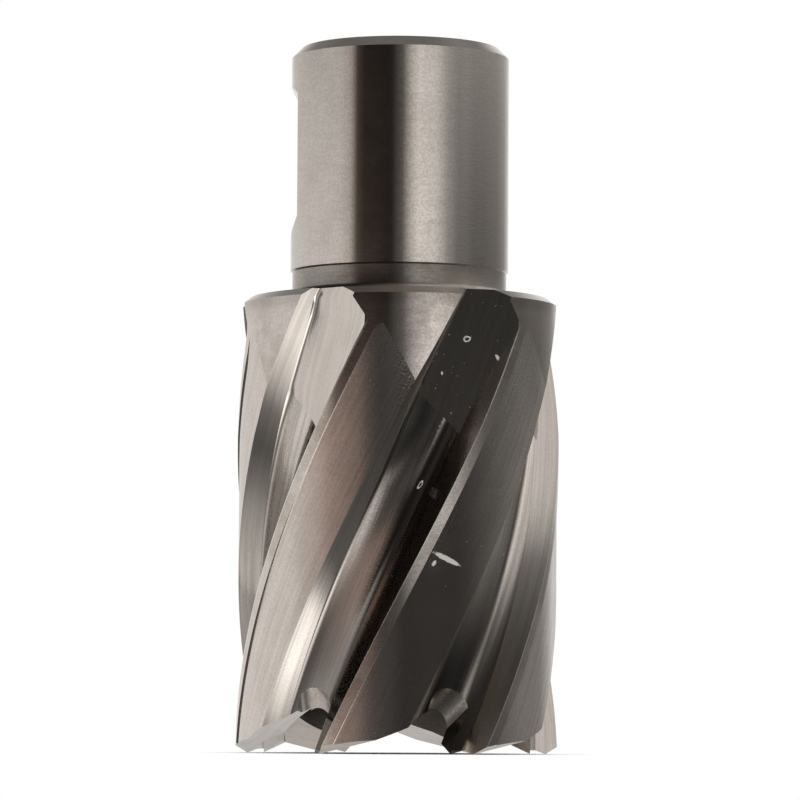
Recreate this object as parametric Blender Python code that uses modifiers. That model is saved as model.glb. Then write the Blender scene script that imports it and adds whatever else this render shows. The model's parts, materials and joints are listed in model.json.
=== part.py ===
"""An annular cutter for a magnetic drill, in high speed steel, ground from one solid bar.

The origin lies on the cutter's axis, in the plane of the tooth tips, with +Z up to the shank.
Angles on the toothed body are taken from the leading edge of a tooth, positive behind it.
"""

import math

import bmesh
import bpy
from mathutils import Matrix, Vector

MM = 0.001

# Cutting end
TEETH = 6
CUTTING_DIAMETER = 28.0 * MM
TOOTH_WALL = 4.25 * MM
HELIX_LEAD = 171.0 * MM
FIRST_EDGE_ANGLE = math.radians(1.75)

# Body and shank lengths, measured up from the tooth tips
BODY_HEIGHT = 39.57 * MM
NECK_HEIGHT = 2.28 * MM
SHANK_LENGTH = 19.75 * MM
TAPER_START = 27.5 * MM
TAPER_LENGTH = 7.0 * MM

# Diameters and edges of the turned blank
SHANK_DIAMETER = 19.05 * MM
SHANK_CHAMFER = 0.88 * MM
SHANK_FOOT_CHAMFER = 0.15 * MM
NECK_UNDERCUT = 0.165 * MM
NECK_FILLET = 0.7 * MM
COLLAR_STEP = 0.2 * MM
COLLAR_CHAMFER_WIDTH = 0.8 * MM
COLLAR_CHAMFER_HEIGHT = 0.58 * MM
PILOT_BORE_DIAMETER = 6.35 * MM
PILOT_BORE_CHAMFER = 0.4 * MM
CAVITY_DEPTH = 32.0 * MM
CAVITY_CLEARANCE = 0.15 * MM
CAVITY_FILLET = 1.2 * MM

# Side-lock flats on the shank
FLAT_DEPTH = 0.6 * MM
FLAT_BOTTOM = 45.2 * MM
FLAT_LENGTH = 13.0 * MM
FLAT_LOWER_RAMP = 1.4 * MM
FLAT_UPPER_RAMP = 0.9 * MM
FLAT_ANGLES = (math.radians(180.0), math.radians(90.0))

# Margin and relieved land behind each leading edge
MARGIN_WIDTH = 1.0 * MM
LAND_SHARE = 0.46
LAND_RELIEF = 0.15 * MM
LAND_APEX_HEIGHT = 36.8 * MM
LAND_APEX_DROP = 5.3 * MM
LAND_RUNOUT = 3.0 * MM

# Flute between two teeth
FLOOR_DISTANCE = 11.61 * MM
FLOOR_HOLLOW = 0.25 * MM
FLOOR_TURN = math.radians(-19.8)
RAKE_TILT = math.radians(22.0)
TRAILING_TILT = math.radians(14.0)
RUNOUT_LENGTH = 11.57 * MM
RUNOUT_LIFT = 0.65 * MM
RUNOUT_LIFT_POWER = 1.7
RUNOUT_TURN = math.radians(-20.0)
RUNOUT_TURN_POWER = 1.3

# Gullet milled through the wall ahead of each tooth
GULLET_WIDTH = 3.5 * MM
GULLET_TOP = 5.8 * MM
GULLET_SHARE = 0.29
GULLET_SLOPE = math.radians(45.0)
GULLET_SWING = math.radians(33.0)

# Ground ends of the teeth
TIP_INSET = 1.07 * MM
OUTER_BEVEL = math.radians(24.2)
INNER_BEVEL = math.radians(23.7)
END_RELIEF = math.radians(12.3)
INNER_STEP_WALL = 1.75 * MM
INNER_STEP_DEPTH = 0.3 * MM
INNER_STEP_LENGTH = 2.0 * MM

# Fineness of the faceted surfaces
TURNED_STEPS = 96
FILLET_STEPS = 4
FLUTE_SECTIONS = 30
LAND_STEPS = 3
FLOOR_STEPS = 5
GULLET_ARCH_STEPS = 10

# How far the cutting tools reach past the steel
OVERCUT = 1.5 * MM
BLANK_ALLOWANCE = 0.5 * MM
FLUTE_REACH = 4.5 * MM
SMALL_STEP = 0.05 * MM

# Sizes that follow from the ones above
CUTTING_RADIUS = CUTTING_DIAMETER / 2
COLLAR_RADIUS = CUTTING_RADIUS - COLLAR_STEP
SHANK_RADIUS = SHANK_DIAMETER / 2
NECK_RADIUS = SHANK_RADIUS - NECK_UNDERCUT
PILOT_BORE_RADIUS = PILOT_BORE_DIAMETER / 2
MOUTH_RADIUS = CUTTING_RADIUS - TOOTH_WALL
CAVITY_RADIUS = MOUTH_RADIUS + CAVITY_CLEARANCE
NECK_TOP = BODY_HEIGHT + NECK_HEIGHT
OVERALL_HEIGHT = NECK_TOP + SHANK_LENGTH
TOOTH_PITCH = 2 * math.pi / TEETH
MARGIN_ANGLE = MARGIN_WIDTH / CUTTING_RADIUS
FLUTE_TOOL_RADIUS = CUTTING_RADIUS + FLUTE_REACH
TIP_RADIUS = CUTTING_RADIUS - TIP_INSET
TIP_LEAD = TIP_INSET * math.tan(RAKE_TILT)


def clear_scene():
    """Remove every object that the scene starts with."""
    for item in list(bpy.data.objects):
        bpy.data.objects.remove(item, do_unlink=True)


def make_collection(name):
    """Return a new collection linked to the scene."""
    collection = bpy.data.collections.new(name)
    bpy.context.scene.collection.children.link(collection)
    return collection


def make_steel():
    """Return the ground high speed steel of the whole cutter."""
    material = bpy.data.materials.new("ground_tool_steel")
    material.use_nodes = True
    shader = material.node_tree.nodes["Principled BSDF"]
    shader.inputs["Base Color"].default_value = (0.50, 0.48, 0.46, 1.0)
    shader.inputs["Metallic"].default_value = 1.0
    shader.inputs["Roughness"].default_value = 0.32
    return material


def make_object(name, vertices, edges, faces, collection):
    """Return an object with the given mesh, linked to a collection."""
    mesh = bpy.data.meshes.new(name)
    mesh.from_pydata(vertices, edges, faces)
    item = bpy.data.objects.new(name, mesh)
    collection.objects.link(item)
    return item


def make_tool(name, vertices, faces, collection):
    """Return a closed solid that only cuts, with its faces turned outwards."""
    tool = make_object(name, vertices, [], faces, collection)
    work = bmesh.new()
    work.from_mesh(tool.data)
    bmesh.ops.recalc_face_normals(work, faces=work.faces)
    work.to_mesh(tool.data)
    work.free()
    tool.hide_render = True
    tool.display_type = "WIRE"
    return tool


def cut(item, tool):
    """Take the tool's volume away from the item."""
    modifier = item.modifiers.new(tool.name, "BOOLEAN")
    modifier.operation = "DIFFERENCE"
    modifier.solver = "EXACT"
    modifier.object = tool


def loft_faces(levels, count):
    """Return the faces that join outlines of the same count of points and close both ends."""
    faces = []
    for level in range(levels - 1):
        low = level * count
        high = low + count
        for side in range(count):
            beside = (side + 1) % count
            faces.append((low + side, low + beside, high + beside, high + side))
    faces.append(tuple(range(count)))
    faces.append(tuple(range((levels - 1) * count, levels * count)))
    return faces


def polar(radius, angle):
    """Return the point in the plane at a radius and an angle."""
    return Vector((radius * math.cos(angle), radius * math.sin(angle)))


def helix_angle(height):
    """Return how far the teeth have turned about the axis at a height."""
    return FIRST_EDGE_ANGLE + 2 * math.pi * height / HELIX_LEAD


def body_radius(height):
    """Return the blank's radius, which eases down from the teeth to the collar."""
    share = (height - TAPER_START) / TAPER_LENGTH
    return CUTTING_RADIUS - COLLAR_STEP * min(max(share, 0.0), 1.0)


def fillet(centre_x, centre_z, radius, start, end):
    """Return the points of a round corner in the profile's plane, ends included."""
    points = []
    for step in range(FILLET_STEPS + 1):
        angle = start + (end - start) * step / FILLET_STEPS
        points.append((centre_x + radius * math.cos(angle), centre_z + radius * math.sin(angle)))
    return points


def blank_profile():
    """Return the closed outline of the turned blank, down its outside and up its bore."""
    quarter = math.pi / 2
    neck_fillet = min(NECK_FILLET, NECK_HEIGHT / 2)
    cavity_fillet = min(CAVITY_FILLET, CAVITY_RADIUS - PILOT_BORE_RADIUS)
    profile = [
        (PILOT_BORE_RADIUS + PILOT_BORE_CHAMFER, OVERALL_HEIGHT),
        (SHANK_RADIUS - SHANK_CHAMFER, OVERALL_HEIGHT),
        (SHANK_RADIUS, OVERALL_HEIGHT - SHANK_CHAMFER),
        (SHANK_RADIUS, NECK_TOP + SHANK_FOOT_CHAMFER),
        (NECK_RADIUS, NECK_TOP),
    ]
    profile += fillet(
        NECK_RADIUS + neck_fillet, BODY_HEIGHT + neck_fillet, neck_fillet, 2 * quarter, 3 * quarter
    )
    profile += [
        (COLLAR_RADIUS - COLLAR_CHAMFER_WIDTH, BODY_HEIGHT),
        (COLLAR_RADIUS, BODY_HEIGHT - COLLAR_CHAMFER_HEIGHT),
        (COLLAR_RADIUS, TAPER_START + TAPER_LENGTH),
        (CUTTING_RADIUS, TAPER_START),
        (CUTTING_RADIUS, -BLANK_ALLOWANCE),
        (MOUTH_RADIUS, -BLANK_ALLOWANCE),
    ]
    profile += fillet(
        CAVITY_RADIUS - cavity_fillet, CAVITY_DEPTH - cavity_fillet, cavity_fillet, 0.0, quarter
    )
    profile += [
        (PILOT_BORE_RADIUS, CAVITY_DEPTH),
        (PILOT_BORE_RADIUS, OVERALL_HEIGHT - PILOT_BORE_CHAMFER),
    ]
    return profile


def make_blank(collection):
    """Turn the blank: shank, neck, collar, body, slug cavity and pilot bore."""
    profile = blank_profile()
    vertices = [(x, 0.0, z) for x, z in profile]
    count = len(vertices)
    edges = [(index, (index + 1) % count) for index in range(count)]
    blank = make_object("annular_cutter", vertices, edges, [], collection)
    turn = blank.modifiers.new("turned", "SCREW")
    turn.steps = TURNED_STEPS
    turn.render_steps = TURNED_STEPS
    turn.use_merge_vertices = True
    turn.merge_threshold = 0.00001
    return blank


def land_radius(share, height):
    """Return the relieved land's radius, from its margin (share 0) to its heel (share 1).

    The relief fades out along a slanting line that starts at the margin, above the taper.
    Past that line the grinding path lies outside the steel.
    """
    fade = LAND_APEX_HEIGHT - LAND_APEX_DROP * share - height
    depth = LAND_RELIEF * min(max(fade / LAND_RUNOUT, -1.0), 1.0)
    return body_radius(height) - depth


def meet(point, direction, normal, distance):
    """Return where a line meets the line at a distance from the axis, square to a normal."""
    reach = (distance - point.dot(normal)) / direction.dot(normal)
    return point + direction * reach


def flute_section(height):
    """Return the outline ground away between two teeth, seen along the axis.

    It runs from the margin of the tooth ahead over its relieved land, down its trailing
    wall, along the hollow floor and up the rake wall, and closes outside the steel.
    """
    runout_start = BODY_HEIGHT - RUNOUT_LENGTH
    runout = max((height - runout_start) / RUNOUT_LENGTH, 0.0)
    floor_normal = polar(1.0, FLOOR_TURN + RUNOUT_TURN * runout ** RUNOUT_TURN_POWER)
    floor_distance = FLOOR_DISTANCE + RUNOUT_LIFT * runout ** RUNOUT_LIFT_POWER

    margin = MARGIN_ANGLE - TOOTH_PITCH
    heel = LAND_SHARE * TOOTH_PITCH - TOOTH_PITCH
    outline = [polar(FLUTE_TOOL_RADIUS, margin)]
    for step in range(LAND_STEPS + 1):
        share = step / LAND_STEPS
        angle = margin + (heel - margin) * share
        outline.append(polar(land_radius(share, height), angle))

    trailing_direction = -polar(1.0, heel - TRAILING_TILT)
    trailing_foot = meet(outline[-1], trailing_direction, floor_normal, floor_distance)
    rake_direction = polar(1.0, RAKE_TILT)
    edge = polar(CUTTING_RADIUS, 0.0)
    rake_foot = meet(edge, rake_direction, floor_normal, floor_distance)
    for step in range(FLOOR_STEPS + 1):
        share = step / FLOOR_STEPS
        hollow = 4 * FLOOR_HOLLOW * share * (1 - share)
        outline.append(trailing_foot.lerp(rake_foot, share) - floor_normal * hollow)

    if rake_foot.length < CUTTING_RADIUS - SMALL_STEP:
        outline.append(edge)
    else:
        outline.append(rake_foot + rake_direction * SMALL_STEP)
    outline.append(edge + rake_direction * (FLUTE_TOOL_RADIUS - CUTTING_RADIUS))
    for share in (0.25, 0.5, 0.75):
        outline.append(polar(FLUTE_TOOL_RADIUS, margin * share))
    return outline


def make_flute_tool(index, collection):
    """Loft the flute's sections up the helix and close both ends."""
    bottom = -BLANK_ALLOWANCE - OVERCUT
    top = BODY_HEIGHT + OVERCUT
    vertices = []
    for level in range(FLUTE_SECTIONS + 1):
        height = bottom + (top - bottom) * level / FLUTE_SECTIONS
        section = flute_section(height)
        turn = Matrix.Rotation(helix_angle(height) + index * TOOTH_PITCH, 2)
        for point in section:
            turned = turn @ point
            vertices.append((turned.x, turned.y, height))
    faces = loft_faces(FLUTE_SECTIONS + 1, len(section))
    return make_tool("flute_tool_%d" % index, vertices, faces, collection)


def gullet_outline():
    """Return the gullet's outline on the flute floor: across, and up from the tips."""
    radius = GULLET_WIDTH / 2
    centre = GULLET_TOP - radius
    foot = -BLANK_ALLOWANCE - OVERCUT
    drift = (centre - foot) * 2 * math.pi * FLOOR_DISTANCE / HELIX_LEAD
    outline = [(-radius - drift, foot), (radius - drift, foot)]
    for step in range(GULLET_ARCH_STEPS + 1):
        angle = math.pi * step / GULLET_ARCH_STEPS
        outline.append((radius * math.cos(angle), centre + radius * math.sin(angle)))
    return outline


def make_gullet_tool(index, collection):
    """Run the gullet's outline inwards along a path that falls and swings ahead."""
    centre = GULLET_TOP - GULLET_WIDTH / 2
    angle = helix_angle(centre) + (index - GULLET_SHARE) * TOOTH_PITCH
    out = Vector((math.cos(angle), math.sin(angle), 0.0))
    across = Vector((-math.sin(angle), math.cos(angle), 0.0))
    up = Vector((0.0, 0.0, 1.0))
    path = -out - across * math.tan(GULLET_SWING) - up * math.tan(GULLET_SLOPE)
    reach_in = FLOOR_DISTANCE - MOUTH_RADIUS + 2 * OVERCUT
    vertices = []
    outline = gullet_outline()
    for reach in (-OVERCUT, reach_in):
        start = out * FLOOR_DISTANCE + path * reach
        for sideways, height in outline:
            vertices.append(start + across * sideways + up * height)
    faces = loft_faces(2, len(outline))
    return make_tool("gullet_tool_%d" % index, vertices, faces, collection)


def end_section(behind):
    """Return the outline of one tooth's ground end at a distance behind its tip.

    Two planes meet in a straight ridge through the tip, and both rise behind it. The
    inner strip stands lower by a step, which fades out behind the cutting edge.
    """
    rise = behind * math.tan(END_RELIEF)
    inner_slope = math.tan(INNER_BEVEL)
    step = INNER_STEP_DEPTH * min(max(1.0 - behind / INNER_STEP_LENGTH, 0.0), 1.0)
    step_wall = MOUTH_RADIUS + INNER_STEP_WALL
    inside = MOUTH_RADIUS - 1.5 * OVERCUT
    outline = [
        (inside, (TIP_RADIUS - inside) * inner_slope - step),
        (step_wall, (TIP_RADIUS - step_wall) * inner_slope - step),
        (step_wall + SMALL_STEP, (TIP_RADIUS - step_wall - SMALL_STEP) * inner_slope),
        (TIP_RADIUS, 0.0),
        (CUTTING_RADIUS + OVERCUT, (TIP_INSET + OVERCUT) * math.tan(OUTER_BEVEL)),
    ]
    outline = [(distance, height + rise) for distance, height in outline]
    bottom = -BLANK_ALLOWANCE - 2 * OVERCUT
    outline.append((CUTTING_RADIUS + OVERCUT, bottom))
    outline.append((inside, bottom))
    return outline


def make_end_tool(index, collection):
    """Loft the block under one tooth whose top is the tooth's ground end."""
    sections = (-GULLET_WIDTH, 0.0, INNER_STEP_LENGTH, CUTTING_RADIUS)
    vertices = []
    for behind in sections:
        for distance, height in end_section(behind):
            vertices.append((distance, behind - TIP_LEAD, height))
    faces = loft_faces(len(sections), len(vertices) // len(sections))
    tool = make_tool("end_tool_%d" % index, vertices, faces, collection)
    tool.rotation_euler = (0.0, 0.0, helix_angle(0.0) + index * TOOTH_PITCH)
    return tool


def make_flat_tool(index, collection):
    """Build the block that mills one side-lock flat, with a ramp at each end."""
    depth = SHANK_RADIUS - FLAT_DEPTH
    reach = 2.0
    half_width = SHANK_RADIUS
    flat_top = FLAT_BOTTOM + FLAT_LENGTH
    outline = [
        (depth, FLAT_BOTTOM + FLAT_LOWER_RAMP),
        (depth + reach * FLAT_DEPTH, FLAT_BOTTOM + FLAT_LOWER_RAMP * (1 - reach)),
        (depth + reach * FLAT_DEPTH, flat_top - FLAT_UPPER_RAMP * (1 - reach)),
        (depth, flat_top - FLAT_UPPER_RAMP),
    ]
    vertices = []
    for side in (-half_width, half_width):
        for x, z in outline:
            vertices.append((x, side, z))
    faces = loft_faces(2, len(outline))
    tool = make_tool("flat_tool_%d" % index, vertices, faces, collection)
    tool.rotation_euler = (0.0, 0.0, FLAT_ANGLES[index])
    return tool


def finish(item, material):
    """Fix the cuts in the mesh and shade it smooth between its sharp edges."""
    graph = bpy.context.evaluated_depsgraph_get()
    mesh = bpy.data.meshes.new_from_object(item.evaluated_get(graph))
    item.modifiers.clear()
    item.data = mesh
    mesh.name = item.name
    mesh.shade_smooth()
    mesh.set_sharp_from_angle(angle=math.radians(20.0))
    mesh.materials.clear()
    mesh.materials.append(material)


def main():
    """Turn the blank, then mill and grind it as the real cutter is."""
    clear_scene()
    parts = make_collection("annular_cutter")
    tools = make_collection("cutting_tools")
    cutter = make_blank(parts)
    for index in range(len(FLAT_ANGLES)):
        cut(cutter, make_flat_tool(index, tools))
    for index in range(TEETH):
        cut(cutter, make_flute_tool(index, tools))
    for index in range(TEETH):
        cut(cutter, make_gullet_tool(index, tools))
    for index in range(TEETH):
        cut(cutter, make_end_tool(index, tools))
    finish(cutter, make_steel())


main()
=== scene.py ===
"""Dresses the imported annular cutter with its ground, milled and turned finishes."""

import json
import math

import bmesh
import bpy
import numpy as np
from mathutils import Matrix, Vector

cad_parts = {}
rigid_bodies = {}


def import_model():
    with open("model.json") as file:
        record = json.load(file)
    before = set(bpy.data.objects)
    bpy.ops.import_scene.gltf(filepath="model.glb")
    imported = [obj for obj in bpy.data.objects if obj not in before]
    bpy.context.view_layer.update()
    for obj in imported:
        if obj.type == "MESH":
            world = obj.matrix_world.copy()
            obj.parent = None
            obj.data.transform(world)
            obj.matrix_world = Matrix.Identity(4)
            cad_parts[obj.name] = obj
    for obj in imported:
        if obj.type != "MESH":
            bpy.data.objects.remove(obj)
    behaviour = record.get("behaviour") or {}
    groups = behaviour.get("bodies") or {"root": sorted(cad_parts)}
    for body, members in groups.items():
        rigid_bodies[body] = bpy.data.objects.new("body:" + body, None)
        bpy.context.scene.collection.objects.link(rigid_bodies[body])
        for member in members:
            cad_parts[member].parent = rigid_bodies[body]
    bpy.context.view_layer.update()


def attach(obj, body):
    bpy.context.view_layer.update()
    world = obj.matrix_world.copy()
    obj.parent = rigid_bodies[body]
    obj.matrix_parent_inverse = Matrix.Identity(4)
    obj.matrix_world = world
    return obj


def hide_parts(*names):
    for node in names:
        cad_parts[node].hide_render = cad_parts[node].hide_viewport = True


bl_info = {
    "name": "Annular Cutter",
    "version": (1, 0, 0),
    "blender": (4, 5, 0),
    "location": "3D View > Sidebar > Annular Cutter",
    "description": "Builds the annular cutter's ground surfaces, its finishes and a plain studio",
    "category": "Object",
}

MM = 0.001
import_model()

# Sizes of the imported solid, which the finer surface follows
TEETH = 6
CUTTING_RADIUS = 14.0 * MM
COLLAR_RADIUS = 13.8 * MM
COLLAR_CHAMFER = 0.8 * MM
COLLAR_CHAMFER_HEIGHT = 0.58 * MM
SHANK_RADIUS = 9.525 * MM
SHANK_CHAMFER = 0.88 * MM
NECK_RADIUS = 9.36 * MM
NECK_TOP = 41.85 * MM
NECK_STEP = 0.15 * MM
NECK_FILLET = 0.7 * MM
MOUTH_RADIUS = 9.75 * MM
CAVITY_RADIUS = 9.9 * MM
CAVITY_CORNER = 1.2 * MM
CAVITY_DEPTH = 32.0 * MM
PILOT_RADIUS = 3.175 * MM
PILOT_CHAMFER = 0.4 * MM
BODY_HEIGHT = 39.57 * MM
OVERALL_HEIGHT = 61.6 * MM
TAPER_START = 27.5 * MM
TAPER_END = 34.5 * MM
HELIX_LEAD = 171.0 * MM
FIRST_EDGE_ANGLE = math.radians(1.75)
TOOTH_PITCH = 2 * math.pi / TEETH
HELIX_SLOPE = math.atan(2 * math.pi * CUTTING_RADIUS / HELIX_LEAD)
MARGIN_ANGLE = 1.0 * MM / CUTTING_RADIUS
HEEL_ANGLE = 0.46 * TOOTH_PITCH
RAKE_TILT = math.radians(22.0)
TRAILING_TILT = math.radians(14.0)
FLAT_DEPTH = 0.6 * MM
FLAT_HEIGHTS = np.array([46.6, 43.8, 59.1, 57.3]) * MM
FLAT_TURNS = np.radians([180.0, 90.0])

# Relieved lands: their depth, and the slanting line where it fades, with its rounded tip
LAND_RELIEF = 0.15 * MM
LAND_FADE_TOP = 36.8 * MM
LAND_FADE_SLANT = 5.3 * MM
LAND_FADE_LENGTH = 3.0 * MM
LAND_TIP_SHARE = 0.08
LAND_TIP_DROP = 0.9 * MM

# Flute floors: turn and distance of the hollow floor, and of the flat left as the wheel lifts out
FLOOR_TURN = math.radians(-19.8)
FLOOR_DISTANCE = 11.61 * MM
FLOOR_HOLLOW = 0.25 * MM
RUNOUT_HEIGHTS = np.array([27.3, 31.0, 35.0, 37.1, 38.75, 39.57]) * MM
RUNOUT_TURNS = np.radians([-19.8, -23.3, -28.5, -31.2, -37.9, -38.2])
RUNOUT_DISTANCES = np.array([11.61, 11.68, 11.89, 12.04, 12.20, 12.10]) * MM
CREASE_END = 31.0 * MM
CREASE_INSET = 0.02
HEEL_SWING = math.radians(1.6)
FOOT_REACH = 0.6 * MM
FOOT_CLEAR = 1.05 * FOOT_REACH
FOOT_CROWD = 0.05

# Gullets and tooth ends
GULLET_RADIUS = 1.75 * MM
GULLET_HEIGHT = 5.8 * MM
GULLET_TURN = 0.29 * TOOTH_PITCH
GULLET_SWING = math.radians(33.0)
INNER_BEVEL = math.radians(23.7)
OUTER_BEVEL = math.radians(24.2)
END_RELIEF = math.radians(12.3)
INNER_STEP = 0.3 * MM
INNER_STEP_LENGTH = 2.0 * MM
INNER_STEP_RADIUS = 11.5 * MM
TIP_RADIUS = 12.93 * MM
TIP_LEAD = 1.07 * MM * math.tan(RAKE_TILT)

# Reach of the blank and the tools past the surfaces that they cut
BLANK_FOOT = -0.5 * MM
BODY_ROWS = np.array([18.0, 9.0]) * MM
TOOL_FOOT = -2.0 * MM
FLUTE_TOOL_RADIUS = 18.5 * MM
END_TOOL_INSIDE = 7.5 * MM
END_TOOL_FOOT = -3.5 * MM
END_TOOL_AHEAD = -3.5 * MM
END_TOOL_BEHIND = 14.0 * MM
OVERCUT = 1.5 * MM
CLEARANCE = 0.05 * MM
CORNER_STEPS = 8
GULLET_STEPS = 24
WALL_STEPS = 4

# Shading of the ground surfaces: angles of the normals, and shares of a floor's width
SHARP_ANGLE = math.radians(18.0)
RELIEF_ANGLES = {
    "turned_shank": 0.0,
    "turned_collar": 0.0,
    "relieved_land": math.radians(4.5),
    "trailing_wall": math.radians(37.0),
}
FLOOR_FIRST_ANGLE = math.radians(-29.9)
FLOOR_LAST_ANGLE = math.radians(-3.7)
FLOOR_FIRST_SHARE = 0.1
FLUTE_MIDDLE_SHARE = 0.25
FLOOR_SWING = math.radians(6.0)
FLOOR_LEAN_HEIGHTS = np.array([22.5, 28.0]) * MM
FLOOR_LEANS = np.array([0.045, 0.13])
BEND_START = 0.65
BEND_ANGLE = math.radians(45.0)
FACET_HEIGHT = 34.0 * MM
FACET_TURN = math.radians(-27.2)
FACET_LEAN = 0.085
FACET_FOOT_TURN = math.radians(11.0)
FACET_FOOT_SHARES = (0.055, 0.275)

# Helix map: mean radius of the lands (mm), length along the helix for a height of 1
MAP_RADIUS = 13.0
MAP_STRETCH = 1.12

# Finishes: lengths along the helix in mm, shares and roughnesses, and the bump's depth in metres
# EDGE_TOP, EDGE_FADE and EDGE_ROUGHNESS shape the painted highlights along the edges
EDGE_TOP = 41.4
EDGE_FADE = 1.5
EDGE_ROUGHNESS = 0.2
SPECK_STRENGTH = 0.5
NICK_ROUGHNESS = 0.62
NICK_METAL_LOSS = 0.3
STAIN_ROUGHNESS = 0.12
# Dark tone of the painted shade that darkens some finishes with height
PAINTED_SHADE_TONE = 0.3
END_SWIRL = 0.25
PATTERN_SHIFT = 7.3
BUMP_DISTANCE = 0.004 * MM

# Stage: lengths in metres, lens and sensor in mm, and a shift of 1.5 pixels out of 800
FLOOR_SIZE = 3.0
FLOOR_SHADOW_START = 13.0 * MM
FLOOR_SHADOW_END = 19.0 * MM
LAMP_PLACE = (0.0, -0.05, 0.9)
LAMP_TARGET = (0.0, 0.0, 0.03)
LAMP_SIZE = 1.4
LAMP_POWER = 4.0
LENS = 207.0
SENSOR = 36.0
CAMERA_DISTANCE = 0.402
CAMERA_PITCH = math.radians(4.05)
CAMERA_SHIFT = 1.5 / 800
CAMERA_ROLL = math.radians(0.35)
WARM_GREEN_LOSS = 0.2
WARM_BLUE_LOSS = 0.27

# Softboxes, as rings by elevation with stops of azimuth, brightness and warmth. Angles are in
# degrees, and the azimuth is 0 in front of the cutter and grows to the right.
BRIGHTEST = 3.0
BACK_LEFT = ((-180, 0.60, 0), (-160, 0.70, 0), (-145, 1.10, 0), (-120, 1.10, 0), (-80, 0.60, 0))
SOFTBOXES = (
    (-75.0, (*BACK_LEFT, (-60, 0.05, 0), (90, 0.05, 0), (180, 0.60, 0))),
    (-50.0, (
        *BACK_LEFT, (-60, 0.20, 0), (25, 0.10, 0), (50, 0.40, 0), (90, 1.00, 0), (120, 0.80, 0),
        (150, 0.50, 0), (180, 0.60, 0),
    )),
    (-40.0, (
        *BACK_LEFT, (-60, 0.15, 0), (25, 0.10, 0), (50, 0.20, 0), (90, 0.50, 0), (150, 0.50, 0),
        (180, 0.60, 0),
    )),
    (-28.0, (
        *BACK_LEFT[:3], (-120, 1.00, 0), (-90, 0.50, 0), (-60, 0.15, 0), (-45, 0.36, 0),
        (-32, 1.40, 0), (-15, 2.30, 0), (4, 2.00, 0), (14, 0.50, 0), (24, 0.12, 0), (130, 0.10, 0),
        (150, 0.60, 0), (180, 0.60, 0),
    )),
    (-14.0, (
        (-180, 0.60, 0), (-80, 0.58, 0), (-72, 0.30, 0), (-45, 0.20, 0), (-30, 0.35, 0.5),
        (-18, 0.60, 0.2), (-8, 0.80, 0), (5, 0.70, 0), (14, 0.04, 0), (22, 0.02, 0), (60, 0.02, 0),
        (85, 0.08, 0), (110, 0.12, 0), (136, 0.12, 0), (148, 0.50, 0), (160, 0.80, 0), (180, 0.60, 0),
    )),
    (-6.0, (
        (-180, 1.00, 0), (-140, 0.80, 0), (-75, 0.76, 0), (-60, 0.50, 0.2), (-40, 0.34, 0.8),
        (-20, 0.22, 1), (-10, 0.08, 0.6), (2, 0.05, 0), (13, 0.04, 0), (48, 0.045, 0), (60, 0.05, 0),
        (80, 0.11, 0), (110, 0.22, 0), (135, 0.24, 0), (146, 0.60, 0), (160, 0.95, 0), (180, 1.00, 0),
    )),
    (0.3, (
        (-180, 1.00, 0), (-160, 0.85, 0), (-140, 0.80, 0), (-75, 0.76, 0), (-65, 0.64, 0.2),
        (-50, 0.52, 0.6), (-40, 0.38, 1), (-20, 0.22, 1), (-12, 0.10, 0.6), (-4, 0.06, 0), (5, 0.07, 0),
        (13, 0.02, 0), (25, 0.01, 0), (48, 0.01, 0), (60, 0.04, 0), (80, 0.11, 0), (110, 0.22, 0),
        (135, 0.24, 0), (150, 0.45, 0), (165, 0.80, 0), (180, 1.00, 0),
    )),
    (4.2, (
        (-180, 0.95, 0), (-160, 0.76, 0), (-120, 0.76, 0), (-66, 0.74, 0), (-54, 0.60, 0.3),
        (-46, 0.06, 1), (-38, 0.01, 1), (-8, 0.015, 1), (3, 0.14, 0), (12, 0.70, 0), (20, 1.05, 0),
        (38, 0.88, 0), (52, 0.34, 0), (64, 0.12, 0), (85, 0.04, 0), (100, 0.05, 0), (125, 0.11, 0),
        (145, 0.25, 0), (160, 0.60, 0), (180, 0.95, 0),
    )),
    (17.0, (
        (-180, 0.85, 0), (-162, 0.60, 0), (-150, 0.15, 0), (-115, 0.03, 0), (-15, 0.01, 0), (0, 0.05, 0),
        (20, 0.13, 0), (40, 0.20, 0), (52, 0.50, 0), (75, 0.90, 0), (160, 0.95, 0), (180, 0.85, 0),
    )),
    (45.0, (
        (-180, 0.30, 0), (-150, 0.28, 0), (-110, 0.03, 0), (-60, 0.02, 0), (-25, 0.10, 0), (0, 0.20, 0),
        (15, 0.55, 0), (30, 0.75, 0), (60, 0.75, 0), (105, 0.70, 0), (150, 0.22, 0), (180, 0.30, 0),
    )),
    (75.0, ((-180, 0.22, 0), (180, 0.22, 0))),
)

# Nicks of each finish: the middle (mm behind the edge, mm along the helix, tooth), two half
# widths in mm, and whether it is hollow
NICKS = {
    "relieved_land": (
        ((2.55, 18.42, 4), (1.45, -0.60), (0.12, -0.30), 0.0),
        ((1.65, 18.00, 4), (0.16, 0.05), (0.05, -0.30), 0.0),
    ),
    "runout_facet": (
        ((-3.97, 39.52, 4), (0.40, 0.00), (0.12, -0.36), 1.0),
        ((-0.50, 37.79, 4), (0.38, -0.36), (0.07, 0.12), 0.0),
        ((-4.90, 36.20, 4), (0.14, -0.20), (0.07, 0.07), 0.0),
    ),
    "flute_floor": (
        ((-2.36, 25.51, 4), (0.20, -0.05), (0.06, 0.42), 1.0),
    ),
}

FINISHES = (
    "turned_shank",
    "turned_chamfer",
    "turned_neck",
    "turned_collar",
    "turned_bore_painted_shade",
    "milled_flat",
    "relieved_land",
    "trailing_wall",
    "flute_floor",
    "runout_facet",
    "rake_wall",
    "milled_gullet",
    "ground_end",
)
SLOT = {name: index for index, name in enumerate(FINISHES)}


# Surfaces


def polar(radius, angle):
    """Points of a plane: (radius cos angle, radius sin angle), for numbers or arrays."""
    return np.stack(np.broadcast_arrays(radius * np.cos(angle), radius * np.sin(angle)), axis=-1)


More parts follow.
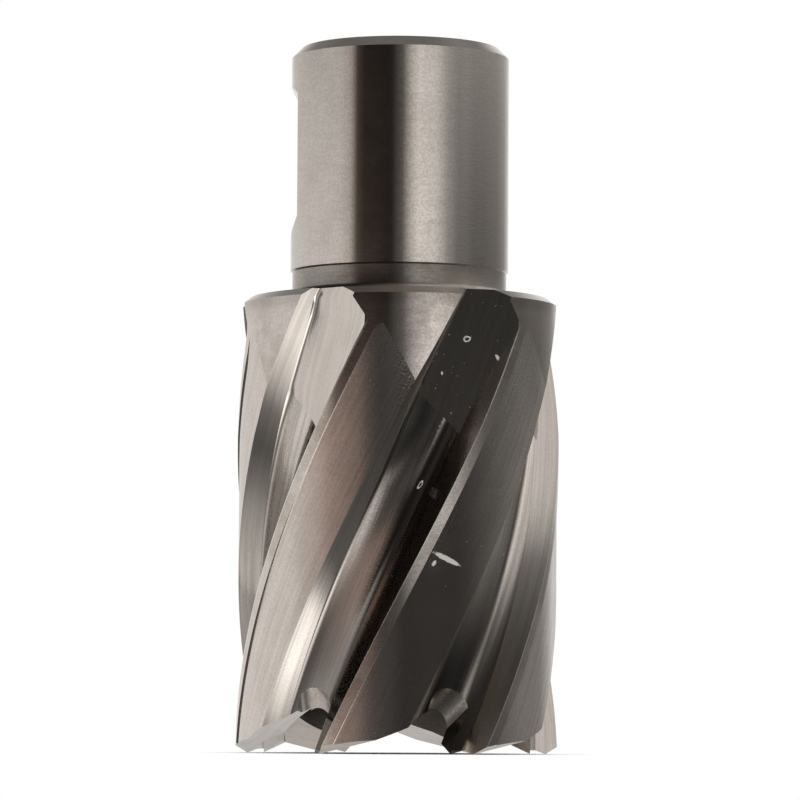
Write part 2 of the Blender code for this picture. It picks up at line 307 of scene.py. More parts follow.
def corner(centre_r, centre_z, radius, start, end, steps):
    """Round corner of a turned profile: centre + radius (cos a, sin a), a from start to end."""
    return polar(radius, np.linspace(start, end, steps + 1)) + (centre_r, centre_z)


def blank_profile(steps):
    """Closed outline of the turned blank, as distances and heights, with a finish for each side.

    Corners are circular arcs, and the long side of the body is split so that no face is too long.
    """
    quarter = math.pi / 2
    fillet_middle = (NECK_RADIUS + NECK_FILLET, BODY_HEIGHT + NECK_FILLET)
    cavity_middle = (CAVITY_RADIUS - CAVITY_CORNER, CAVITY_DEPTH - CAVITY_CORNER)
    parts = [
        ([(PILOT_RADIUS + PILOT_CHAMFER, OVERALL_HEIGHT)], "turned_chamfer"),
        ([(SHANK_RADIUS - SHANK_CHAMFER, OVERALL_HEIGHT)], "turned_chamfer"),
        ([(SHANK_RADIUS, OVERALL_HEIGHT - SHANK_CHAMFER)], "turned_shank"),
        ([(SHANK_RADIUS, NECK_TOP + NECK_STEP)], "turned_neck"),
        ([(NECK_RADIUS, NECK_TOP)], "turned_neck"),
        (corner(*fillet_middle, NECK_FILLET, 2 * quarter, 3 * quarter, steps), "turned_neck"),
        ([(COLLAR_RADIUS - COLLAR_CHAMFER, BODY_HEIGHT)], "turned_chamfer"),
        ([(COLLAR_RADIUS, BODY_HEIGHT - COLLAR_CHAMFER_HEIGHT)], "turned_collar"),
        ([(COLLAR_RADIUS, TAPER_END)], "turned_collar"),
        ([(CUTTING_RADIUS, height) for height in (TAPER_START, *BODY_ROWS)], "turned_collar"),
        ([(CUTTING_RADIUS, BLANK_FOOT)], "ground_end"),
        # The bore's finish has a dark tone that is painted shade inside the cavity
        ([(MOUTH_RADIUS, BLANK_FOOT)], "turned_bore_painted_shade"),
        (corner(*cavity_middle, CAVITY_CORNER, 0.0, quarter, steps), "turned_bore_painted_shade"),
        ([(PILOT_RADIUS, CAVITY_DEPTH)], "turned_bore_painted_shade"),
        ([(PILOT_RADIUS, OVERALL_HEIGHT - PILOT_CHAMFER)], "turned_bore_painted_shade"),
    ]
    points = np.concatenate([np.asarray(part, dtype=float) for part, _ in parts])
    finishes = [name for part, name in parts for _ in range(len(part))]
    return points, np.array([SLOT[name] for name in finishes])


def revolve(profile, finishes, steps):
    """Turn a closed profile about the axis: (r cos a, r sin a, z) for even angles a."""
    angle = np.linspace(0.0, 2 * math.pi, steps, endpoint=False)
    ring = polar(profile[:, 0][:, None], angle[None, :])
    height = np.broadcast_to(profile[:, 1][:, None, None], ring.shape[:2] + (1,))
    vertices = np.concatenate([ring, height], axis=-1).reshape(-1, 3)
    row = np.arange(len(profile))[:, None] * steps
    row_beside = np.roll(row, -1, axis=0)
    column = np.arange(steps)[None, :]
    column_beside = np.roll(column, -1, axis=1)
    faces = np.stack(
        [row + column, row_beside + column, row_beside + column_beside, row + column_beside],
        axis=-1,
    )
    return vertices, faces.reshape(-1, 4), np.repeat(finishes, steps)


def helix_angle(height):
    """Turn of the teeth about the axis at a height: the start angle + 2 pi height / lead."""
    return FIRST_EDGE_ANGLE + 2 * math.pi * height / HELIX_LEAD


def land_radius(share, height):
    """Relieved land: the body radius less a depth that fades along a slanting, round-tipped line."""
    taper = np.clip((height - TAPER_START) / (TAPER_END - TAPER_START), 0.0, 1.0)
    body = CUTTING_RADIUS - (CUTTING_RADIUS - COLLAR_RADIUS) * taper
    tip = np.clip(1.0 - share / LAND_TIP_SHARE, 0.0, 1.0)
    fade = LAND_FADE_TOP - LAND_FADE_SLANT * share - LAND_TIP_DROP * tip**2 - height
    return body - LAND_RELIEF * np.clip(fade / LAND_FADE_LENGTH, -1.0, 1.0)


def meet(point, direction, normal, distance):
    """Where the lines point + t direction cross the lines p . normal = distance."""
    reach = (distance - np.sum(point * normal, axis=-1)) / np.sum(direction * normal, axis=-1)
    return point + direction * reach[..., None]


def rounded(before, at, after, reach, steps):
    """Round a corner of an outline: the curve (1-t)^2 a + 2t(1-t) b + t^2 c, a and c at a reach."""
    back = before - at
    ahead = after - at
    a = at + back * (reach / np.linalg.norm(back, axis=-1, keepdims=True))
    c = at + ahead * (reach / np.linalg.norm(ahead, axis=-1, keepdims=True))
    t = np.linspace(0.0, 1.0, steps + 1)[None, :, None]
    return (1 - t) ** 2 * a[:, None] + 2 * t * (1 - t) * at[:, None] + t**2 * c[:, None]


def flute_outlines(height, steps):
    """Outline ground away between two teeth at each height, seen along the axis.

    The floor is a hollow, y = d - 4 h u (1 - u) across its width. As the wheel lifts out it
    leaves a flat, p . n = d, whose n and d change with height. The crease between them
    crosses the floor from the cutting edge to the other wall, and above it all is flat.
    """
    levels = len(height)
    normal = polar(np.ones(levels), np.full(levels, FLOOR_TURN))
    along = np.stack([-normal[:, 1], normal[:, 0]], axis=-1)
    flat_normal = polar(np.ones(levels), np.interp(height, RUNOUT_HEIGHTS, RUNOUT_TURNS))
    flat_distance = np.interp(height, RUNOUT_HEIGHTS, RUNOUT_DISTANCES)
    crease = np.clip((CREASE_END - height) / (CREASE_END - RUNOUT_HEIGHTS[0]), 0.0, 1.0)

    margin = MARGIN_ANGLE - TOOTH_PITCH
    swing = HEEL_SWING * np.clip((height - CREASE_END) / (BODY_HEIGHT - CREASE_END), 0.0, 1.0)
    heel = HEEL_ANGLE - TOOTH_PITCH + swing
    share = np.linspace(0.0, 1.0, 2 * steps + 1)[None, :]
    land = polar(land_radius(share, height[:, None]), margin + (heel - margin)[:, None] * share)
    top = land[:, -1]
    wall = -polar(np.ones(levels), heel - TRAILING_TILT)
    rake = np.broadcast_to(polar(1.0, RAKE_TILT), (levels, 2))
    edge = np.broadcast_to(polar(CUTTING_RADIUS, 0.0), (levels, 2))

    low_foot = meet(top, wall, normal, FLOOR_DISTANCE)
    low_rise = meet(edge, rake, normal, FLOOR_DISTANCE)
    left = np.sum(low_foot * along, axis=-1)
    width = np.sum(low_rise * along, axis=-1) - left
    lifted = (crease <= 0.0)[:, None]
    started = (crease < 1.0)[:, None]
    foot = np.where(lifted, meet(top, wall, flat_normal, flat_distance), low_foot)
    rise = np.where(started, meet(edge, rake, flat_normal, flat_distance), low_rise)

    kept = np.clip(crease, CREASE_INSET, 1.0 - CREASE_INSET)
    even = np.linspace(0.0, 1.0, 2 * steps + 1)[None, :]
    u = kept[:, None] * even
    hollow = FLOOR_DISTANCE - 4 * FLOOR_HOLLOW * u * (1 - u)
    reach = left[:, None] + width[:, None] * u
    floor = reach[..., None] * along[:, None] + hollow[..., None] * normal[:, None]
    flat_part = (rise - foot)[:, None] * CREASE_INSET * even[..., None]
    floor = np.where(lifted[..., None], foot[:, None] + flat_part, floor)
    foot_curve = rounded(top, foot, floor[:, -1], FOOT_REACH, steps)
    inside = np.linalg.norm(floor - foot[:, None], axis=-1, keepdims=True) < FOOT_CLEAR
    floor = np.where(inside, foot_curve[:, -1:] + (floor - foot[:, None]) * FOOT_CROWD, floor)
    facet_share = np.linspace(0.0, 1.0, steps + 1)[None, 1:, None]
    facet = floor[:, -1:] + (rise - floor[:, -1])[:, None] * facet_share

    wall_share = np.linspace(0.0, 1.0, WALL_STEPS + 1)[None, 1:-1, None]
    trailing = top[:, None] + (foot_curve[:, 0] - top)[:, None] * wall_share
    gone = np.linalg.norm(rise, axis=-1) > CUTTING_RADIUS - CLEARANCE
    crest = np.where(gone[:, None], rise + rake * CLEARANCE, edge)
    climb = rise[:, None] + (crest - rise)[:, None] * wall_share
    outside = edge + rake * (FLUTE_TOOL_RADIUS - CUTTING_RADIUS)
    closing = polar(FLUTE_TOOL_RADIUS, margin * np.array([0.25, 0.5, 0.75, 1.0]))
    closing = np.broadcast_to(closing, (levels, 4, 2))
    outline = [land, trailing, foot_curve, floor[:, 1:], facet, climb, crest[:, None], outside[:, None]]
    return np.concatenate([*outline, closing], axis=1)


def flute_finishes(height, steps):
    """Finish of each side of the outlines, from one height to the next.

    Above the crease the floor's sides are facet, and below it the facet's sides are floor.
    """
    counts = {
        "relieved_land": 2 * steps,
        "trailing_wall": WALL_STEPS + steps // 2,
        "flute_floor": 3 * steps - steps // 2,
        "runout_facet": steps,
        "rake_wall": WALL_STEPS + 6,
    }
    finishes = np.concatenate([np.full(count, SLOT[name]) for name, count in counts.items()])
    finishes = np.tile(finishes, (len(height) - 1, 1))
    middle = (height[1:] + height[:-1])[:, None] / 2
    finishes[(middle > CREASE_END) & (finishes == SLOT["flute_floor"])] = SLOT["runout_facet"]
    finishes[(middle < RUNOUT_HEIGHTS[0]) & (finishes == SLOT["runout_facet"])] = SLOT["flute_floor"]
    return finishes


def turned(x, y, z, angle):
    """Points turned about the axis: (x cos a - y sin a, x sin a + y cos a, z)."""
    cos, sin = np.cos(angle), np.sin(angle)
    return np.stack([x * cos - y * sin, x * sin + y * cos, np.broadcast_to(z, x.shape)], axis=-1)


def loft(sections, finishes):
    """Join outlines of the same count of points level by level, and close both ends."""
    levels, count = sections.shape[:2]
    row = np.arange(levels - 1)[:, None] * count
    column = np.arange(count)[None, :]
    beside = np.roll(column, -1, axis=1)
    faces = np.stack([row + column, row + beside, row + count + beside, row + count + column], axis=-1)
    sides = faces.reshape(-1, 4).tolist()
    first = list(range(count))
    last = list(range((levels - 1) * count, levels * count))
    slots = np.broadcast_to(finishes, (levels - 1, count)).ravel()
    slots = np.concatenate([slots, slots[:1], slots[-1:]])
    return sections.reshape(-1, 3), sides + [first, last], slots


def flute_cutter(turn, steps, levels):
    """Flute outlines carried up the helix: each level turned by 2 pi height / lead."""
    height = np.linspace(TOOL_FOOT, BODY_HEIGHT + OVERCUT, levels)
    outline = flute_outlines(height, steps)
    angle = helix_angle(height) + turn
    sections = turned(outline[..., 0], outline[..., 1], height[:, None], angle[:, None])
    return loft(sections, flute_finishes(height, steps))


def gullet_cutter(turn, steps):
    """A straight slot with a round top, carried inwards along a path that falls and swings."""
    centre = GULLET_HEIGHT - GULLET_RADIUS
    drift = (centre - TOOL_FOOT) * 2 * math.pi * FLOOR_DISTANCE / HELIX_LEAD
    arch = polar(GULLET_RADIUS, np.linspace(0.0, math.pi, steps + 1)) + (0.0, centre)
    feet = [(-GULLET_RADIUS - drift, TOOL_FOOT), (GULLET_RADIUS - drift, TOOL_FOOT)]
    outline = np.concatenate([feet, arch])
    angle = helix_angle(centre) + turn - GULLET_TURN
    out = np.array([math.cos(angle), math.sin(angle), 0.0])
    across = np.array([-math.sin(angle), math.cos(angle), 0.0])
    up = np.array([0.0, 0.0, 1.0])
    path = -out - across * math.tan(GULLET_SWING) - up
    flat = outline[:, :1] * across + outline[:, 1:] * up + out * FLOOR_DISTANCE
    reach = np.array([-OVERCUT, FLOOR_DISTANCE - MOUTH_RADIUS + 2 * OVERCUT])
    sections = flat[None] + path * reach[:, None, None]
    return loft(sections, np.full(len(outline), SLOT["milled_gullet"]))


def end_cutter(turn):
    """Block under one tooth: two planes that meet in a ridge through the tip and rise behind.

    Its top is the distance from the ridge times the tangent of a bevel, plus the distance
    behind the edge times the tangent of the relief. Inside it is lower by a step that fades.
    """
    wall = INNER_STEP_RADIUS
    outside = CUTTING_RADIUS + OVERCUT
    distance = [END_TOOL_INSIDE, wall, wall + CLEARANCE, TIP_RADIUS, outside, outside, END_TOOL_INSIDE]
    distance = np.array(distance)
    behind = np.array([END_TOOL_AHEAD, 0.0, INNER_STEP_LENGTH, END_TOOL_BEHIND])
    inner = (TIP_RADIUS - distance) * math.tan(INNER_BEVEL)
    outer = (distance - TIP_RADIUS) * math.tan(OUTER_BEVEL)
    bevel = np.where(distance < TIP_RADIUS, inner, outer)
    step = INNER_STEP * np.clip(1.0 - behind / INNER_STEP_LENGTH, 0.0, 1.0)
    drop = np.stack([step, step, 0 * step, 0 * step, 0 * step], axis=1)
    top = bevel[None, :5] - drop + behind[:, None] * math.tan(END_RELIEF)
    height = np.concatenate([top, np.full((4, 2), END_TOOL_FOOT)], axis=1)
    x = np.broadcast_to(distance, height.shape)
    y = np.broadcast_to(behind[:, None] - TIP_LEAD, height.shape)
    return loft(turned(x, y, height, FIRST_EDGE_ANGLE + turn), np.full(7, SLOT["ground_end"]))


def flat_cutter(angle):
    """Block that mills one shank flat, with a ramp at each end."""
    deep = SHANK_RADIUS - FLAT_DEPTH
    clear = SHANK_RADIUS + FLAT_DEPTH
    x = np.broadcast_to([deep, clear, clear, deep], (2, 4))
    y = np.broadcast_to([[-SHANK_RADIUS], [SHANK_RADIUS]], (2, 4))
    return loft(turned(x, y, FLAT_HEIGHTS, angle), np.full(4, SLOT["milled_flat"]))


# Meshes


def closed_mesh(name, vertices, faces, slots):
    """Put computed points and faces into a mesh, with a finish for each face and faces outwards."""
    mesh = bpy.data.meshes.new(name)
    mesh.from_pydata(vertices.tolist(), [], [list(face) for face in faces])
    mesh.polygons.foreach_set("material_index", slots.astype(np.int32))
    work = bmesh.new()
    work.from_mesh(mesh)
    bmesh.ops.recalc_face_normals(work, faces=work.faces)
    work.to_mesh(mesh)
    work.free()
    return mesh


def link(mesh, collection, materials):
    """Return an object of the mesh that has every finish in its slots."""
    item = bpy.data.objects.new(mesh.name, mesh)
    collection.objects.link(item)
    for material in materials:
        mesh.materials.append(material)
    return item


def grind(blank, tools):
    """Take all the tools' volumes away from the blank and return the mesh that is left."""
    modifier = blank.modifiers.new("grinding", "BOOLEAN")
    modifier.operation = "DIFFERENCE"
    modifier.solver = "EXACT"
    modifier.operand_type = "COLLECTION"
    modifier.collection = tools
    modifier.material_mode = "INDEX"
    graph = bpy.context.evaluated_depsgraph_get()
    mesh = bpy.data.meshes.new_from_object(blank.evaluated_get(graph))
    if not mesh.polygons:
        raise RuntimeError("Grinding left no surface")
    return mesh


def face_data(mesh):
    """Vertex positions, corner vertices, each corner's face, and each face's centre and slot."""
    points = np.empty(len(mesh.vertices) * 3)
    mesh.vertices.foreach_get("co", points)
    corners = np.empty(len(mesh.loops), dtype=np.int32)
    mesh.loops.foreach_get("vertex_index", corners)
    totals = np.empty(len(mesh.polygons), dtype=np.int32)
    mesh.polygons.foreach_get("loop_total", totals)
    slots = np.empty(len(mesh.polygons), dtype=np.int32)
    mesh.polygons.foreach_get("material_index", slots)
    centres = np.empty(len(mesh.polygons) * 3)
    mesh.polygons.foreach_get("center", centres)
    owner = np.repeat(np.arange(len(totals)), totals)
    return points.reshape(-1, 3), corners, owner, centres.reshape(-1, 3), slots


def write_helix_map(mesh):
    """Write where each corner lies on its tooth, for the patterns that follow the helix.

    helix = (millimetres behind the edge, millimetres along the helix, tooth number), where
    the angle behind the edge is atan2(y, x) less the helix's turn at that height. Each face
    belongs to one tooth as a whole, and a tooth's faces start at the heel of the one before.
    """
    points, corners, owner, centres, _ = face_data(mesh)
    angle = np.arctan2(centres[:, 1], centres[:, 0]) - helix_angle(centres[:, 2])
    tooth = np.floor(angle / TOOTH_PITCH + 1.0 - HEEL_ANGLE / TOOTH_PITCH)[owner]
    place = points[corners]
    around = np.arctan2(place[:, 1], place[:, 0]) - helix_angle(place[:, 2])
    around -= 2 * math.pi * np.round((around - angle[owner]) / (2 * math.pi))
    behind = (around - tooth * TOOTH_PITCH) * MAP_RADIUS
    values = np.stack([behind, place[:, 2] / MM * MAP_STRETCH, tooth % TEETH], axis=-1)
    helix = mesh.attributes.new("helix", "FLOAT_VECTOR", "CORNER")
    helix.data.foreach_set("vector", values.astype(np.float32).ravel())
    distance = mesh.attributes.new("axis_distance", "FLOAT", "CORNER")
    distance.data.foreach_set("value", (np.hypot(place[:, 0], place[:, 1]) / MM).astype(np.float32))


def relieved_normals(around, relief):
    """Normals of a turned surface, (cos a, sin a, 0), turned by a relief angle about the axis.

    They lean along the helix by the slope 2 pi r / lead times the sine of that angle.
    """
    facing = around + relief
    lean = -2 * math.pi * CUTTING_RADIUS / HELIX_LEAD * math.sin(relief)
    return np.stack([np.cos(facing), np.sin(facing), np.full(len(facing), lean)], axis=-1)


def floor_normals(around, behind, across, height):
    """Normals of a flute's hollow floor.

    They turn evenly across the floor, and bend at a round foot towards the way that the rake
    wall faces. They lean along the helix, and also down, more with height but less in the bend.
    """
    bend = np.clip((across - BEND_START) / (1.0 - BEND_START), 0.0, 1.0)
    facing = FLOOR_TURN + FLOOR_SWING * (1 - 2 * across) - BEND_ANGLE * bend
    lean = -2 * math.pi * FLOOR_DISTANCE / HELIX_LEAD * np.sin(facing - behind)
    lean -= np.interp(height, FLOOR_LEAN_HEIGHTS, FLOOR_LEANS) * (1.0 - bend)
    facing += around - behind
    return np.stack([np.cos(facing), np.sin(facing), lean], axis=-1)


def facet_normals(tooth, across):
    """Normals of the run-out facets: one for each facet, turned away from the wall at its foot."""
    facing = helix_angle(FACET_HEIGHT) + tooth * TOOTH_PITCH + FACET_TURN
    facing += FACET_FOOT_TURN * np.interp(across, FACET_FOOT_SHARES, (1.0, 0.0))
    return np.stack([np.cos(facing), np.sin(facing), np.full(len(facing), -FACET_LEAN)], axis=-1)


def set_normals(mesh):
    """Shade smoothly, with worked-out normals on the turned and ground surfaces.

    A trailing wall, which the wheel leaves hollow, is shaded with its middle angle, as a land
    is. Places across a floor run from 0 at the trailing wall to 1 at the rake wall.
    """
    mesh.shade_smooth()
    mesh.set_sharp_from_angle(angle=SHARP_ANGLE)
    normals = np.empty(len(mesh.loops) * 3, dtype=np.float32)
    mesh.corner_normals.foreach_get("vector", normals)
    normals = normals.reshape(-1, 3)
    points, corners, owner, _, slots = face_data(mesh)
    slots = slots[owner]
    place = points[corners]
    around = np.arctan2(place[:, 1], place[:, 0])
    for name, relief in RELIEF_ANGLES.items():
        chosen = slots == SLOT[name]
        normals[chosen] = relieved_normals(around[chosen], relief)
    turn = helix_angle(place[:, 2])
    tooth = np.round((around - turn) / TOOTH_PITCH + FLUTE_MIDDLE_SHARE)
    behind = around - turn - tooth * TOOTH_PITCH
    across = (behind - FLOOR_FIRST_ANGLE) / (FLOOR_LAST_ANGLE - FLOOR_FIRST_ANGLE)
    floor = (slots == SLOT["flute_floor"]) & (across > FLOOR_FIRST_SHARE)
    normals[floor] = floor_normals(around, behind, across, place[:, 2])[floor]
    facet = (slots == SLOT["runout_facet"]) & (across > FLOOR_FIRST_SHARE)
    normals[facet] = facet_normals(tooth, across)[facet]
    normals /= np.linalg.norm(normals, axis=-1, keepdims=True)
    mesh.normals_split_custom_set(normals.tolist())


# Materials


def feed(tree, socket, value):
    """Link a socket to another node's output, or set its value."""
    if isinstance(value, bpy.types.NodeSocket):
        tree.links.new(value, socket)
    else:
        socket.default_value = value


def new_node(tree, kind, inputs=None, **settings):
    """Add a node, set its properties, and set or link its inputs."""
    node = tree.nodes.new(kind)
    for name, value in settings.items():
        setattr(node, name, value)
    for name, value in (inputs or {}).items():
        feed(tree, node.inputs[name], value)
    return node


def calculate(tree, operation, first, second=0.0, third=0.0, clamp=False):
    """Add a Math node and return its result."""
    inputs = {0: first, 1: second, 2: third}
    return new_node(tree, "ShaderNodeMath", inputs, operation=operation, use_clamp=clamp).outputs[0]


def scale_range(tree, value, low, high, to_low=0.0, to_high=1.0, smooth=True):
    """Map a value's range to another, softly where smooth is set."""
    kind = "SMOOTHSTEP" if smooth else "LINEAR"
    inputs = {"Value": value, "From Min": low, "From Max": high, "To Min": to_low, "To Max": to_high}
    return new_node(tree, "ShaderNodeMapRange", inputs, interpolation_type=kind).outputs[0]


def mix_colour(tree, share, first, second, blend="MIX"):
    """Add a colour Mix node and return its result."""
    inputs = {0: share, 6: first, 7: second}
    return new_node(tree, "ShaderNodeMix", inputs, data_type="RGBA", blend_type=blend).outputs[2]


def mix_value(tree, share, first, second):
    """Add a number Mix node and return its result."""
    return new_node(tree, "ShaderNodeMix", {0: share, 2: first, 3: second}, data_type="FLOAT").outputs[0]


def noise_texture(tree, place, scale, detail, roughness=0.5):
    """Add a noise texture and return its value."""
    inputs = {"Vector": place, "Scale": scale, "Detail": detail, "Roughness": roughness}
    return new_node(tree, "ShaderNodeTexNoise", inputs).outputs["Fac"]


def new_group(name, inputs, outputs):
    """Start a node group with named inputs and outputs; return it with its two end nodes.

    An input with a default is a number, and one with None is a vector.
    """
    group = bpy.data.node_groups.new(name, "ShaderNodeTree")
    for label, default in inputs.items():
        kind = "NodeSocketVector" if default is None else "NodeSocketFloat"
        socket = group.interface.new_socket(label, in_out="INPUT", socket_type=kind)
        if default is not None:
            socket.default_value = default
    for label in outputs:
        group.interface.new_socket(label, in_out="OUTPUT", socket_type="NodeSocketFloat")
    return group, group.nodes.new("NodeGroupInput").outputs, group.nodes.new("NodeGroupOutput").inputs


def grinding_lines_group():
    """Fine parallel lines left by a wheel: three noises, each stretched along the lines."""
    inputs = {"Position": None, "Lines": 6.0, "Stretch": 40.0}
    group, given, result = new_group("grinding_lines", inputs, ("Lines", "Height", "Broad"))
    along = calculate(group, "DIVIDE", given["Lines"], given["Stretch"])
    parts = []
    for factor, detail in ((1.0, 3.0), (0.31, 2.0), (0.085, 2.0)):
        scale = {"X": calculate(group, "MULTIPLY", given["Lines"], factor), "Z": along}
        scale["Y"] = calculate(group, "MULTIPLY", along, factor)
        scale = new_node(group, "ShaderNodeCombineXYZ", scale).outputs[0]
        place = {0: given["Position"], 1: scale}
        place = new_node(group, "ShaderNodeVectorMath", place, operation="MULTIPLY").outputs[0]
        parts.append(scale_range(group, noise_texture(group, place, 1.0, detail, 0.6), 0.3, 0.7))
    fine, medium, broad = parts
    both = mix_value(group, 0.45, fine, medium)
    group.links.new(both, result["Lines"])
    group.links.new(mix_value(group, 0.3, both, broad), result["Height"])
    group.links.new(broad, result["Broad"])


def handling_marks_group():
    """Small specks, a fine grain and clouds of residue, all from noise."""
    inputs = {"Position": None, "Amount": 0.5}
    group, given, result = new_group("handling_marks", inputs, ("Specks", "Grain", "Cloud"))
    spots = noise_texture(group, given["Position"], 3.0, 4.0, 0.7)
    limit = scale_range(group, given["Amount"], 0.0, 1.0, 0.84, 0.68, smooth=False)
    specks = calculate(group, "MULTIPLY", calculate(group, "SUBTRACT", spots, limit), 30.0, clamp=True)
    grain = noise_texture(group, given["Position"], 5.0, 2.0)
    cloud = noise_texture(group, given["Position"], 0.28, 5.0, 0.6)
    group.links.new(specks, result["Specks"])
    group.links.new(scale_range(group, grain, 0.3, 0.7), result["Grain"])
    group.links.new(scale_range(group, cloud, 0.4, 0.7), result["Cloud"])


def painted_edge_highlight_group():
    """A painted edge highlight: 1 on a line, 0 at a given distance beside it, uneven, and gone on the
    collar.
    """
    inputs = {"Distance": 0.0, "Height": 0.0, "Line": 0.0, "Width": 0.1}
    group, given, result = new_group("painted_edge_highlight", inputs, ("Band",))
    away = calculate(group, "SUBTRACT", given["Distance"], given["Line"])
    share = calculate(group, "DIVIDE", calculate(group, "ABSOLUTE", away), given["Width"])
    band = scale_range(group, share, 0.3, 1.0, 1.0, 0.0)
    place = new_node(group, "ShaderNodeCombineXYZ", {"X": given["Height"], "Y": given["Line"]}).outputs[0]
    uneven = scale_range(group, noise_texture(group, place, 0.9, 4.0, 0.7), 0.3, 0.55, 0.4, 1.0)
    below = scale_range(group, given["Height"], EDGE_TOP - EDGE_FADE, EDGE_TOP, 1.0, 0.0)
    band = calculate(group, "MULTIPLY", calculate(group, "MULTIPLY", band, uneven), below)
    group.links.new(band, result["Band"])


def nick_group():
    """A nick: the ellipse |(p . a, p . b)| < 1 about its middle on one tooth, solid or hollow."""
    inputs = {"Helix": None, "Middle": None, "First": None, "Second": None, "Hollow": 0.0}
    group, given, result = new_group("nick", inputs, ("Nick",))
    offset = {0: given["Helix"], 1: given["Middle"]}
    offset = new_node(group, "ShaderNodeVectorMath", offset, operation="SUBTRACT").outputs[0]
    reach = []
    for label in ("First", "Second"):
        dot = {0: offset, 1: given[label]}
        dot = new_node(group, "ShaderNodeVectorMath", dot, operation="DOT_PRODUCT")
        reach.append(dot.outputs["Value"])
    square = calculate(group, "MULTIPLY", reach[1], reach[1])
    square = calculate(group, "MULTIPLY_ADD", reach[0], reach[0], square)
    uneven = calculate(group, "SUBTRACT", noise_texture(group, given["Helix"], 2.5, 4.0, 0.7), 0.5)
    away = calculate(group, "ADD", calculate(group, "SQRT", square), uneven)
    solid = scale_range(group, away, 0.75, 1.0, 1.0, 0.0)
    ring = calculate(group, "MULTIPLY", solid, scale_range(group, away, 0.4, 0.6))
    shape = mix_value(group, given["Hollow"], solid, ring)
    tooth = new_node(group, "ShaderNodeSeparateXYZ", {0: offset}).outputs[2]
    same = calculate(group, "COMPARE", tooth, 0.0, 0.5)
    group.links.new(calculate(group, "MULTIPLY", shape, same), result["Nick"])


def grouped(tree, name, inputs):
    """Place a node group and return its outputs by name."""
    return new_node(tree, "ShaderNodeGroup", inputs, node_tree=bpy.data.node_groups[name]).outputs


def millimetres(tree):
    """Object coordinates in millimetres."""
    place = {0: new_node(tree, "ShaderNodeTexCoord").outputs["Object"], "Scale": 1 / MM}
    return new_node(tree, "ShaderNodeVectorMath", place, operation="SCALE").outputs[0]


def finish_position(tree, pattern):
    """Coordinates in millimetres whose first axis crosses the lines of a finish.

    Turned lines cross the height, helix lines cross the angle and the depth of a flute, end
    lines cross the distance from the axis along a swirl, and plain lines cross the width.
    """
    place = new_node(tree, "ShaderNodeSeparateXYZ", {0: millimetres(tree)}).outputs
    if pattern == "turned":
        across, along, third = place[2], place[0], place[1]
    elif pattern == "plain":
        across, along, third = place[0], place[2], place[1]
    else:
        distance = new_node(tree, "ShaderNodeAttribute", attribute_name="axis_distance").outputs["Fac"]
        if pattern == "end":
            across = calculate(tree, "MULTIPLY_ADD", place[0], END_SWIRL, distance)
            along, third = place[1], 0.0
        else:
            helix = new_node(tree, "ShaderNodeAttribute", attribute_name="helix").outputs["Vector"]
            parts = new_node(tree, "ShaderNodeSeparateXYZ", {0: helix}).outputs
            across = calculate(tree, "ADD", parts[0], distance)
            along, third = parts[1], calculate(tree, "MULTIPLY", parts[2], PATTERN_SHIFT)
    return new_node(tree, "ShaderNodeCombineXYZ", {"X": across, "Y": along, "Z": third}).outputs[0]


def nick_shape(tree, helix, middle, first, second, hollow):
    """Place one nick, whose two half widths are turned into the axes that its group measures by."""
    size = first[0] * second[1] - first[1] * second[0]
    inputs = {"Helix": helix, "Middle": middle, "Hollow": hollow}
    inputs["First"] = (second[1] / size, -second[0] / size, 0.0)
    inputs["Second"] = (-first[1] / size, first[0] / size, 0.0)
    return grouped(tree, "nick", inputs)["Nick"]


